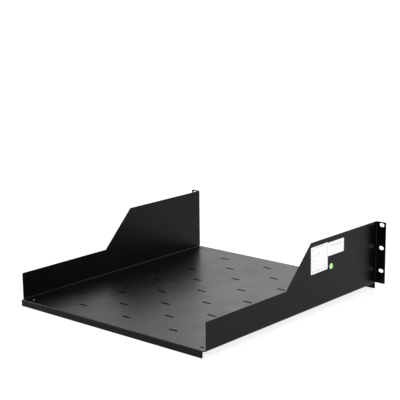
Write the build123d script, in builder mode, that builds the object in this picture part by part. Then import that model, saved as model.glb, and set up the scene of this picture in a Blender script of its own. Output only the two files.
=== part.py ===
"""Rack shelf, three units high, folded from one steel sheet, with three stickers on one wall.

Millimetres, +Z up. The shelf stands on the edges of its two lips. X = 0 and Y = 0 are its
middle. The ears and the front are at -Y, the open rear is at +Y, and the stickers lie on
the outer face of the wall at -X.
"""

import os
from math import radians, tan

from build123d import *

# Sheet and its bends
sheet = 1.5
bend_inner = 1.5
bend_outer = bend_inner + sheet

# Overall size
shelf_depth = 500.0
shelf_height = 132.0
ear_span = 482.6
ear_width = 20.3

# Base, lips and corner reliefs
base_height = 12.0
lip_inset = 1.0
lip_corner = 1.5
rear_lip_cutback = 4.0
tab_run = 0.5
relief_width = 1.5
relief_rise = 1.5

# Walls
tall_run = 211.0
slope_angle = 45.0
low_wall_height = 49.0
knee_radius = 3.0
wall_corner = 2.0

# Ears
ear_lift = 0.5
ear_corner = 1.5
ear_hole_inset = 8.75
ear_hole_pitch = 44.45
ear_hole_count = 3
ear_hole_drop = 5.95
ear_hole_length = 10.5
ear_hole_width = 7.0

# Vent slots, in rows that alternate by one step, and small holes near the corners
slot_length = 20.0
slot_width = 5.0
slot_step_x = 55.0
slot_step_y = 50.0
even_row_slots = 3
even_rows = 5
odd_row_slots = 4
odd_rows = 4
corner_hole_diameter = 6.0
corner_hole_inset = 18.0
corner_hole_front = 17.0
corner_hole_rear = 15.0

# Stickers
sticker_thickness = 0.15
large_label_width = 51.0
large_label_height = 49.5
large_label_tilt = 0.6
large_label_drop = 8.5
large_label_behind_knee = 1.5
small_label_width = 50.5
small_label_height = 25.0
small_label_drop = 9.7
label_gap = 0.5
label_corner = 2.0
dot_diameter = 10.5
dot_drop = 55.0
dot_ahead_of_large_label = 11.5

# Planes and lines that the sizes above give
front = -shelf_depth / 2
rear = shelf_depth / 2
body_width = ear_span - 2 * ear_width
wall_outer = body_width / 2
wall_inner = wall_outer - sheet
base_underside = base_height - sheet
flat_half = wall_outer - bend_outer
fold_top = base_underside + bend_outer
lip_reach = bend_outer + tab_run + relief_width
lip_end = body_width / 2 - lip_inset
rear_lip_start = rear_lip_cutback - lip_end
ear_bottom = base_height + ear_lift
ear_inner = wall_outer + bend_inner
ear_hole_span = ear_span - 2 * ear_hole_inset
ear_hole_middle = shelf_height - ear_hole_drop - ear_hole_pitch * (ear_hole_count - 1) / 2
low_wall_top = base_height + low_wall_height
slope_rise = shelf_height - low_wall_top
high_knee = front + tall_run
low_knee = high_knee + slope_rise / tan(radians(slope_angle))
pattern_middle = (corner_hole_front - corner_hole_rear) / 2
corner_hole_span = body_width - 2 * corner_hole_inset
corner_hole_run = shelf_depth - corner_hole_front - corner_hole_rear

# Sticker places on the wall's outer face, seen from outside: right is the front, up is +Z
sticker_plane = Plane(origin=(-wall_outer, 0, 0), x_dir=(0, -1, 0), z_dir=(-1, 0, 0))
large_label_left = -(high_knee + large_label_behind_knee)
large_label_right = large_label_left + large_label_width
large_label_top = shelf_height - large_label_drop
large_label_place = (large_label_left + large_label_width / 2, large_label_top - large_label_height / 2)
small_label_left = large_label_right + label_gap
small_label_top = shelf_height - small_label_drop
small_label_place = (small_label_left + small_label_width / 2, small_label_top - small_label_height / 2)
dot_place = (large_label_right + dot_ahead_of_large_label, shelf_height - dot_drop)


def lip_outline(left_end, right_end):
    """Outline of one lip's flat, seen from the front, with rounded lower corners."""
    with BuildSketch() as outline:
        with BuildLine():
            Polyline(
                (left_end, base_height - bend_outer),
                (left_end, 0),
                (right_end, 0),
                (right_end, base_height - bend_outer),
                close=True,
            )
        make_face()
        fillet(outline.vertices().group_by(Axis.Y)[0], lip_corner)
    return outline.sketch


def quarter_bend(bend_axis, start_angle):
    """Section of one right-angle bend of the sheet, a quarter ring about its bend axis."""
    with BuildSketch() as section:
        with BuildLine():
            outside = CenterArc(bend_axis, bend_outer, start_angle, 90)
            inside = CenterArc(bend_axis, bend_inner, start_angle, 90)
            Line(outside @ 0, inside @ 0)
            Line(outside @ 1, inside @ 1)
        make_face()
    return section.sketch


with BuildPart() as shelf:
    # Bend from the base up to the wall, between the corner reliefs
    with BuildSketch(Plane.XZ):
        add(quarter_bend((flat_half, fold_top), 270))
    extrude(amount=shelf_depth / 2 - lip_reach, both=True)

    # Wall: tall behind the ear, then the slope, then low; the slit frees the ear from the bend
    with BuildSketch(Plane.YZ.offset(wall_inner)) as wall_face:
        with BuildLine():
            Polyline(
                (front + bend_outer, ear_bottom),
                (front + bend_outer + tab_run, ear_bottom),
                (front + bend_outer + tab_run, fold_top),
                (rear - lip_reach, fold_top),
                (rear - lip_reach, low_wall_top),
                (low_knee, low_wall_top),
                (high_knee, shelf_height),
                (front + bend_outer, shelf_height),
                close=True,
            )
        make_face()
        low_corners = wall_face.vertices().group_by(Axis.Y)[-2].sort_by(Axis.X)
        fillet(low_corners[-1], wall_corner)
        fillet(low_corners[0], knee_radius)
        fillet(wall_face.vertices().group_by(Axis.Y)[-1].sort_by(Axis.X)[-1], knee_radius)
        with Locations((front + lip_reach - relief_width / 2, fold_top)):
            SlotOverall(2 * relief_rise, relief_width, rotation=90, mode=Mode.SUBTRACT)
    extrude(amount=sheet)

    # Ear: the bend out of the wall, and the flat with its slotted holes
    with BuildSketch(Plane.XY.offset(ear_bottom)):
        add(quarter_bend((ear_inner, front + bend_outer), 180))
    extrude(amount=shelf_height - ear_bottom)
    with BuildSketch(Plane.XZ.offset(-front)) as ear_face:
        with BuildLine():
            Polyline(
                (ear_inner, ear_bottom),
                (ear_span / 2, ear_bottom),
                (ear_span / 2, shelf_height),
                (ear_inner, shelf_height),
                close=True,
            )
        make_face()
        fillet(ear_face.vertices().group_by(Axis.X)[-1], ear_corner)
        with Locations((ear_hole_span / 2, ear_hole_middle)):
            with GridLocations(0, ear_hole_pitch, 1, ear_hole_count):
                SlotOverall(ear_hole_length, ear_hole_width, mode=Mode.SUBTRACT)
    extrude(amount=-sheet)
    mirror(about=Plane.YZ)

    # Front lip: the bend down from the base, and the flat below it
    with BuildSketch(Plane.YZ.offset(-lip_end)):
        add(quarter_bend((front + bend_outer, base_height - bend_outer), 90))
    extrude(amount=2 * lip_end)
    with BuildSketch(Plane.XZ.offset(-front)):
        add(lip_outline(-lip_end, lip_end))
    extrude(amount=-sheet)

    # Rear lip, cut back at its end on the stickers' side
    with BuildSketch(Plane.YZ.offset(rear_lip_start)):
        add(quarter_bend((rear - bend_outer, base_height - bend_outer), 0))
    extrude(amount=lip_end - rear_lip_start)
    with BuildSketch(Plane.XZ.offset(-rear)):
        add(lip_outline(rear_lip_start, lip_end))
    extrude(amount=sheet)

    # Base: flat between the bends, with its slots and holes
    with BuildSketch(Plane.XY.offset(base_underside)):
        Rectangle(2 * flat_half, shelf_depth - 2 * bend_outer)
        with Locations((0, pattern_middle)):
            with GridLocations(2 * slot_step_x, 2 * slot_step_y, even_row_slots, even_rows):
                SlotOverall(slot_length, slot_width, mode=Mode.SUBTRACT)
            with GridLocations(2 * slot_step_x, 2 * slot_step_y, odd_row_slots, odd_rows):
                SlotOverall(slot_length, slot_width, mode=Mode.SUBTRACT)
            with GridLocations(corner_hole_span, corner_hole_run, 2, 2):
                Circle(corner_hole_diameter / 2, mode=Mode.SUBTRACT)
    extrude(amount=sheet)

with BuildPart() as large_label:
    with BuildSketch(sticker_plane):
        with Locations(large_label_place):
            RectangleRounded(large_label_width, large_label_height, label_corner, rotation=large_label_tilt)
    extrude(amount=sticker_thickness)

with BuildPart() as small_label:
    with BuildSketch(sticker_plane):
        with Locations(small_label_place):
            RectangleRounded(small_label_width, small_label_height, label_corner)
    extrude(amount=sticker_thickness)

with BuildPart() as round_sticker:
    with BuildSketch(sticker_plane):
        with Locations(dot_place):
            Circle(dot_diameter / 2)
    extrude(amount=sticker_thickness)

shelf.part.label = "shelf"
large_label.part.label = "large_label"
small_label.part.label = "small_label"
round_sticker.part.label = "round_sticker"

os.makedirs("parts", exist_ok=True)
export_step(shelf.part, "parts/shelf.step")
export_step(large_label.part, "parts/large_label.step")
export_step(small_label.part, "parts/small_label.step")
export_step(round_sticker.part, "parts/round_sticker.step")
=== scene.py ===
"""Finishes and studio for a folded rack shelf in black powder coat with three paper stickers.

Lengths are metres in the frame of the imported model: +Z up, the ears at -Y, the stickers on
the outer face of the wall at -X.
"""

import logging
from dataclasses import dataclass
from enum import Enum
from math import pi

import bpy
from mathutils import Matrix, Vector

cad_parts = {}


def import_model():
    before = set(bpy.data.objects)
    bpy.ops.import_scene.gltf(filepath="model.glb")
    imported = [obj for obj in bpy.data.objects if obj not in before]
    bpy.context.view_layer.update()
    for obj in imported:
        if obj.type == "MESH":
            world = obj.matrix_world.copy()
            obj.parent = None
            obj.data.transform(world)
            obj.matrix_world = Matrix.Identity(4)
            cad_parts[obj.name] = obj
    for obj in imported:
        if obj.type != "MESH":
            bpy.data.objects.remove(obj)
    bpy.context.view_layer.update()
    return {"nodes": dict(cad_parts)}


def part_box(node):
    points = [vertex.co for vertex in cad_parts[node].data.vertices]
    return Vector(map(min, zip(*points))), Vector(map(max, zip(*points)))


log = logging.getLogger("rack_shelf")

Colour = tuple[float, float, float]
Point = tuple[float, float, float]
Span = tuple[float, float]
NOISE_SPAN: Span = (0.3, 0.7)
OFF_TO_ON: Span = (0.0, 1.0)
ON_TO_OFF: Span = (1.0, 0.0)
WHITE = (1.0, 1.0, 1.0, 1.0)


class SlotName(Enum):
    """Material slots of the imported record."""

    SHEET = "black_powder_coat"
    WHITE_STICKER = "white_paper"
    GREEN_STICKER = "green_paper"


class NodeTable:
    """Adds nodes to one node tree and links them."""

    def __init__(self, tree: bpy.types.NodeTree) -> None:
        """Takes over a tree and clears it.

        Args:
            tree: The node tree of a material, a world or a group.
        """
        self.tree = tree
        tree.nodes.clear()
        self.column = 0

    def add(self, kind: str, inputs: dict | None = None, **settings: object) -> bpy.types.Node:
        """Adds one node.

        Args:
            kind: The node's type, such as ShaderNodeMath.
            inputs: Value or source socket for each named or numbered input.
            **settings: Properties of the node, such as operation.

        Returns:
            The new node.
        """
        node = self.tree.nodes.new(kind)
        node.location = (180 * self.column, 0)
        self.column += 1
        for name, value in settings.items():
            setattr(node, name, value)
        for key, value in (inputs or {}).items():
            if isinstance(value, bpy.types.NodeSocket):
                self.tree.links.new(value, node.inputs[key])
            else:
                node.inputs[key].default_value = value
        return node

    def math(self, operation: str, first: object, second: object = 0.0) -> bpy.types.NodeSocket:
        """Adds a Math node.

        Args:
            operation: The operation's name, such as MULTIPLY.
            first: Value or source socket of the first input.
            second: Value or source socket of the second input.

        Returns:
            The result's socket.
        """
        return self.add("ShaderNodeMath", {0: first, 1: second}, operation=operation).outputs[0]

    def remap(self, value: object, source: Span, target: Span, smooth: bool = False) -> bpy.types.NodeSocket:
        """Adds a Map Range node.

        Args:
            value: Source socket.
            source: Lowest and highest value that comes in.
            target: What they become.
            smooth: Eases in and out.

        Returns:
            The result's socket.
        """
        node = self.add(
            "ShaderNodeMapRange",
            {0: value, 1: source[0], 2: source[1], 3: target[0], 4: target[1]},
            interpolation_type="SMOOTHSTEP" if smooth else "LINEAR",
        )
        return node.outputs[0]


def new_group(name: str, inputs: dict[str, str], outputs: dict[str, str]) -> bpy.types.NodeTree:
    """Makes an empty shader node group with its sockets.

    Args:
        name: The group's name.
        inputs: Socket type for each input's name.
        outputs: Socket type for each output's name.

    Returns:
        The group.
    """
    group = bpy.data.node_groups.new(name, "ShaderNodeTree")
    for direction, sockets in (("INPUT", inputs), ("OUTPUT", outputs)):
        for socket_name, socket_type in sockets.items():
            group.interface.new_socket(socket_name, in_out=direction, socket_type=socket_type)
    return group


def surface_grain_group() -> bpy.types.NodeTree:
    """Builds the fine grain that powder coat and sticker paper share.

    Returns:
        A group that takes a place and a grain size, and puts out a height and a broad mottling.
    """
    group = new_group(
        "surface_grain",
        {"Place": "NodeSocketVector", "Grain Size": "NodeSocketFloat", "Mottle Size": "NodeSocketFloat"},
        {"Height": "NodeSocketFloat", "Mottling": "NodeSocketFloat"},
    )
    table = NodeTable(group)
    source = table.add("NodeGroupInput")
    grain_scale = table.math("DIVIDE", 1.0, source.outputs["Grain Size"])
    mottle_scale = table.math("DIVIDE", 1.0, source.outputs["Mottle Size"])
    grain = table.add(
        "ShaderNodeTexNoise",
        {"Vector": source.outputs["Place"], "Scale": grain_scale, "Detail": 1.0, "Roughness": 0.4},
    )
    mottling = table.add(
        "ShaderNodeTexNoise",
        {"Vector": source.outputs["Place"], "Scale": mottle_scale, "Detail": 3.0, "Roughness": 0.55},
    )
    table.add("NodeGroupOutput", {"Height": grain.outputs["Fac"], "Mottling": mottling.outputs["Fac"]})
    return group


def printed_bar_group() -> bpy.types.NodeTree:
    """Builds the mask of one printed bar on a sticker.

    Returns:
        A group that takes two coordinates and a rectangle, and puts out 1 inside it.
    """
    directions = (("Across", "Middle Across", "Half Width"), ("Up", "Middle Up", "Half Height"))
    names = [name for direction in directions for name in direction]
    group = new_group("printed_bar", dict.fromkeys(names, "NodeSocketFloat"), {"Mask": "NodeSocketFloat"})
    table = NodeTable(group)
    source = table.add("NodeGroupInput").outputs
    soft_edge = (0.8, 1.2)
    sides = []
    for place, middle, half in directions:
        offset = table.math("ABSOLUTE", table.math("SUBTRACT", source[place], source[middle]))
        ratio = table.math("DIVIDE", offset, source[half])
        sides.append(table.remap(ratio, soft_edge, ON_TO_OFF, smooth=True))
    table.add("NodeGroupOutput", {"Mask": table.math("MULTIPLY", sides[0], sides[1])})
    return group


@dataclass(frozen=True)
class PowderCoat:
    """Semi-gloss black powder coat with a fine, even orange peel and softened sheet edges."""

    grain: bpy.types.NodeTree
    colour: Colour = (0.0018, 0.0017, 0.0028)
    roughness: float = 0.32
    roughness_spread: float = 0.03
    ior: float = 1.21
    grain_size: float = 0.0012
    grain_height: float = 0.00001
    mottle_size: float = 0.045
    tint_span: Span = (0.92, 1.08)
    edge_radius: float = 0.0002
    edge_samples: int = 4

    def build(self) -> bpy.types.Material:
        """Makes the material.

        Returns:
            The powder coat, on Object coordinates.
        """
        material = bpy.data.materials.new(SlotName.SHEET.value)
        material.use_nodes = True
        table = NodeTable(material.node_tree)
        place = table.add("ShaderNodeTexCoord").outputs["Object"]
        grain = table.add(
            "ShaderNodeGroup",
            {"Place": place, "Grain Size": self.grain_size, "Mottle Size": self.mottle_size},
            node_tree=self.grain,
        )
        gloss_span = (self.roughness - self.roughness_spread, self.roughness + self.roughness_spread)
        roughness = table.remap(grain.outputs["Mottling"], NOISE_SPAN, gloss_span)
        tint = table.remap(grain.outputs["Mottling"], NOISE_SPAN, self.tint_span)
        colour = table.add("ShaderNodeVectorMath", {0: self.colour, "Scale": tint}, operation="SCALE")
        edges = table.add("ShaderNodeBevel", {"Radius": self.edge_radius}, samples=self.edge_samples)
        bump = table.add(
            "ShaderNodeBump",
            {"Distance": self.grain_height, "Height": grain.outputs["Height"], "Normal": edges.outputs[0]},
        )
        shader = table.add(
            "ShaderNodeBsdfPrincipled",
            {
                "Base Color": colour.outputs[0],
                "Roughness": roughness,
                "IOR": self.ior,
                "Normal": bump.outputs[0],
            },
        )
        table.add("ShaderNodeOutputMaterial", {"Surface": shader.outputs[0]})
        return material


@dataclass(frozen=True)
class PrintedBar:
    """One faint printed bar, in shares of its sticker from the top left corner as it is read."""

    left: float
    right: float
    middle: float
    height: float
    ink: float


@dataclass(frozen=True)
class StickerPaper:
    """Smooth sticker paper, plain or with faint bars where such a sticker has its print."""

    grain: bpy.types.NodeTree
    bar_mask: bpy.types.NodeTree
    slot: SlotName
    colour: Colour
    roughness: float = 0.45
    fibre_size: float = 0.0006
    fibre_height: float = 0.000006
    mottle_size: float = 0.012
    tint_span: Span = (0.985, 1.0)
    ink_colour: Colour = (0.12, 0.12, 0.13)

    def build(self, node: str, bars: tuple[PrintedBar, ...] = ()) -> bpy.types.Material:
        """Makes the material of one sticker.

        Args:
            node: The sticker's CAD node, whose box the bars are set out on.
            bars: The printed bars.

        Returns:
            The sticker's material, on Object coordinates.
        """
        material = bpy.data.materials.new(f"{self.slot.value}_{node}")
        material.use_nodes = True
        table = NodeTable(material.node_tree)
        place = table.add("ShaderNodeTexCoord").outputs["Object"]
        grain = table.add(
            "ShaderNodeGroup",
            {"Place": place, "Grain Size": self.fibre_size, "Mottle Size": self.mottle_size},
            node_tree=self.grain,
        )
        tint = table.remap(grain.outputs["Mottling"], NOISE_SPAN, self.tint_span)
        paper = table.add("ShaderNodeVectorMath", {0: self.colour, "Scale": tint}, operation="SCALE")
        colour = paper.outputs[0]
        if bars:
            ink = self.ink_share(table, place, node, bars)
            ink_colour = (*self.ink_colour, 1.0)
            mix = table.add("ShaderNodeMix", {0: ink, 6: colour, 7: ink_colour}, data_type="RGBA")
            colour = mix.outputs[2]
        bump = table.add("ShaderNodeBump", {"Distance": self.fibre_height, "Height": grain.outputs["Height"]})
        shader = table.add(
            "ShaderNodeBsdfPrincipled",
            {"Base Color": colour, "Roughness": self.roughness, "Normal": bump.outputs[0]},
        )
        table.add("ShaderNodeOutputMaterial", {"Surface": shader.outputs[0]})
        return material

    def ink_share(self, table: NodeTable, place: bpy.types.NodeSocket, node: str,
                  bars: tuple[PrintedBar, ...]) -> bpy.types.NodeSocket:
        """Adds up the bars' masks.

        Args:
            table: The material's nodes.
            place: Object coordinates.
            node: The sticker's CAD node.
            bars: The printed bars.

        Returns:
            The share of ink at each point.
        """
        low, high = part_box(node)
        width, height = high.y - low.y, high.z - low.z
        axes = table.add("ShaderNodeSeparateXYZ", {0: place}).outputs
        ink: object = 0.0
        for bar in bars:
            rectangle = {
                "Across": axes["Y"],
                "Up": axes["Z"],
                "Middle Across": high.y - width * (bar.left + bar.right) / 2,
                "Middle Up": high.z - height * bar.middle,
                "Half Width": width * (bar.right - bar.left) / 2,
                "Half Height": height * bar.height / 2,
            }
            mask = table.add("ShaderNodeGroup", rectangle, node_tree=self.bar_mask)
            ink = table.math("MAXIMUM", ink, table.math("MULTIPLY", mask.outputs[0], bar.ink))
        return ink


@dataclass(frozen=True)
class FoldedSheet:
    """The shelf's one folded sheet."""

    node: str = "shelf"

    def dress(self, nodes: dict[str, bpy.types.Object], coat: PowderCoat) -> None:
        """Gives the sheet its powder coat.

        Args:
            nodes: The CAD nodes.
            coat: The powder coat.
        """
        put_on(nodes[self.node], coat.build())


@dataclass(frozen=True)
class WallStickers:
    """Two white labels and a green dot on one wall."""

    large: str = "large_label"
    small: str = "small_label"
    dot: str = "round_sticker"
    white: Colour = (0.90, 0.90, 0.90)
    green: Colour = (0.47, 0.87, 0.34)
    large_bars: tuple[PrintedBar, ...] = (
        PrintedBar(0.24, 0.77, 0.06, 0.040, 0.30),
        PrintedBar(0.07, 0.15, 0.06, 0.035, 0.20),
        PrintedBar(0.07, 0.22, 0.13, 0.040, 0.20),
        PrintedBar(0.40, 0.52, 0.30, 0.080, 0.18),
        PrintedBar(0.07, 0.30, 0.52, 0.035, 0.20),
        PrintedBar(0.07, 0.15, 0.91, 0.050, 0.32),
        PrintedBar(0.24, 0.72, 0.91, 0.055, 0.24),
        PrintedBar(0.78, 0.92, 0.90, 0.040, 0.16),
    )
    small_bars: tuple[PrintedBar, ...] = (
        PrintedBar(0.17, 0.68, 0.28, 0.085, 0.40),
        PrintedBar(0.75, 0.87, 0.28, 0.130, 0.30),
        PrintedBar(0.74, 0.88, 0.62, 0.055, 0.16),
        PrintedBar(0.28, 0.40, 0.84, 0.060, 0.18),
    )

    def dress(self, nodes: dict[str, bpy.types.Object], grain: bpy.types.NodeTree,
              bar_mask: bpy.types.NodeTree) -> None:
        """Gives each sticker its paper.

        Args:
            nodes: The CAD nodes.
            grain: The surface grain's group.
            bar_mask: The printed bar's group.
        """
        white = StickerPaper(grain, bar_mask, SlotName.WHITE_STICKER, self.white)
        green = StickerPaper(grain, bar_mask, SlotName.GREEN_STICKER, self.green)
        put_on(nodes[self.large], white.build(self.large, self.large_bars))
        put_on(nodes[self.small], white.build(self.small, self.small_bars))
        put_on(nodes[self.dot], green.build(self.dot))


def put_on(piece: bpy.types.Object, material: bpy.types.Material) -> None:
    """Makes a material the only one of a piece.

    Args:
        piece: A CAD node or a new piece.
        material: Its finish.
    """
    piece.data.materials.clear()
    piece.data.materials.append(material)
    log.info("%s has %s", piece.name, material.name)


@dataclass(frozen=True)
class PhotoCamera:
    """The camera that the photograph's edges gave."""

    place: Point = (-1.36253, 1.56948, 0.64614)
    right: Point = (-0.75587, -0.65466, -0.00949)
    up: Point = (0.13468, -0.16965, 0.97626)
    lens_mm: float = 104.45
    sensor_mm: float = 36.0
    far_limit: float = 100.0

    def build(self) -> None:
        """Makes the camera and sets it as the scene's."""
        right = Vector(self.right).normalized()
        back = right.cross(Vector(self.up)).normalized()
        up = back.cross(right)
        data = bpy.data.cameras.new("photo_camera")
        data.lens = self.lens_mm
        data.sensor_width = self.sensor_mm
        data.clip_end = self.far_limit
        camera = bpy.data.objects.new("photo_camera", data)
        turn = Matrix((right, up, back)).transposed().to_4x4()
        camera.matrix_world = Matrix.Translation(self.place) @ turn
        bpy.context.scene.collection.objects.link(camera)
        bpy.context.scene.camera = camera
        log.info("camera %s", camera.name)


@dataclass(frozen=True)
class SoftBox:
    """One soft lamp that looks at the shelf."""

    name: str
    place: Point
    size: Span
    radiance: float
    target: Point = (0.0, 0.0, 0.04)

    def build(self) -> None:
        """Makes the lamp; its power gives the stated radiance over its face."""
        data = bpy.data.lights.new(self.name, "AREA")
        data.shape = "RECTANGLE"
        data.size, data.size_y = self.size
        data.energy = self.radiance * pi * self.size[0] * self.size[1]
        lamp = bpy.data.objects.new(self.name, data)
        lamp.location = self.place
        aim = Vector(self.target) - Vector(self.place)
        lamp.rotation_euler = aim.to_track_quat("-Z", "Y").to_euler()
        lamp.visible_camera = False
        bpy.context.scene.collection.objects.link(lamp)
        log.info("lamp %s", self.name)


def seen_directly(table: NodeTable) -> bpy.types.NodeSocket:
    """Tells the rays that show the background from those that light the shelf.

    Args:
        table: The nodes of the floor or the room.

    Returns:
        1 for what the camera sees itself, in a reflection or through something clear, else 0.
    """
    rays = table.add("ShaderNodeLightPath").outputs
    seen = table.math("MAXIMUM", rays["Is Camera Ray"], rays["Is Glossy Ray"])
    return table.math("MAXIMUM", seen, rays["Is Transmission Ray"])


@dataclass(frozen=True)
class Studio:
    """White floor and room with soft lamps; under the shelf the floor is left unlifted and shows darker, a
    painted shade.
    """

    floor_size: float = 60.0
    floor_colour: Colour = (0.32, 0.32, 0.32)
    floor_lift: float = 0.78
    # Painted shade: the rectangle under the shelf where the floor gets no lift and shows darker.
    painted_shade_middle: Span = (0.014, 0.0)
    painted_shade_half: Span = (0.201, 0.240)
    painted_shade_fade: float = 0.003
    room_light: float = 0.78
    lamps: tuple[SoftBox, ...] = (
        SoftBox("low_side", (-4.06, 0.36, 1.22), (2.4, 2.4), 5.0),
        SoftBox("front", (1.47, -3.16, 2.35), (2.4, 2.4), 1.85),
        SoftBox("front_right", (2.24, -2.67, 2.35), (2.4, 2.4), 0.86),
        SoftBox("high_front", (-0.81, -3.01, 2.81), (1.0, 1.0), 6.5),
        SoftBox("right_strip", (3.29, 0.64, 2.53), (1.2, 1.2), 12.0),
    )

    def build(self) -> None:
        """Sets up floor, room and lamps."""
        self.lay_floor()
        self.light_room()
        for lamp in self.lamps:
            lamp.build()

    def lay_floor(self) -> None:
        """Lays a wide grey floor, lifted to white where it is seen, that keeps the shelf's shadow; under the
        shelf the lift is left out, which paints shade there.
        """
        bpy.ops.object.select_all(action="DESELECT")
        bpy.ops.mesh.primitive_plane_add(size=self.floor_size)
        floor = bpy.context.active_object
        floor.name = "floor"
        material = bpy.data.materials.new("white_floor")
        material.use_nodes = True
        table = NodeTable(material.node_tree)
        place = table.add("ShaderNodeTexCoord").outputs["Object"]
        axes = table.add("ShaderNodeSeparateXYZ", {0: place}).outputs
        # Painted shade: no lift inside the rectangle under the shelf, so the floor there shows darker.
        past_painted_shade = []
        for axis, middle, half in zip("XY", self.painted_shade_middle, self.painted_shade_half):
            offset = table.math("ABSOLUTE", table.math("SUBTRACT", axes[axis], middle))
            fade = (half - self.painted_shade_fade, half + self.painted_shade_fade)
            past_painted_shade.append(table.remap(offset, fade, OFF_TO_ON, smooth=True))
        outside_painted_shade = table.math("MAXIMUM", past_painted_shade[0], past_painted_shade[1])
        seen_outside_painted_shade = table.math("MULTIPLY", seen_directly(table), outside_painted_shade)
        lift = table.math("MULTIPLY", seen_outside_painted_shade, self.floor_lift)
        paint = table.add("ShaderNodeBsdfDiffuse", {"Color": (*self.floor_colour, 1.0)})
        glow = table.add("ShaderNodeEmission", {"Strength": lift})
        both = table.add("ShaderNodeAddShader", {0: paint.outputs[0], 1: glow.outputs[0]})
        table.add("ShaderNodeOutputMaterial", {"Surface": both.outputs[0]})
        put_on(floor, material)

    def light_room(self) -> None:
        """Fills the room with even white light behind a white background."""
        world = bpy.data.worlds.new("room")
        world.use_nodes = True
        table = NodeTable(world.node_tree)
        level = table.remap(seen_directly(table), OFF_TO_ON, (self.room_light, 1.0))
        light = table.add("ShaderNodeBackground", {"Color": WHITE, "Strength": level})
        table.add("ShaderNodeOutputWorld", {"Surface": light.outputs[0]})
        bpy.context.scene.world = world


def main() -> None:
    """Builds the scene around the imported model."""
    logging.basicConfig(level=logging.INFO, format="%(message)s")
    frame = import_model()
    scene = bpy.context.scene
    scene.view_settings.view_transform = "Standard"

    grain = surface_grain_group()
    bar_mask = printed_bar_group()
    FoldedSheet().dress(frame["nodes"], PowderCoat(grain))
    WallStickers().dress(frame["nodes"], grain, bar_mask)
    Studio().build()
    PhotoCamera().build()


if __name__ == "__main__":
    main()
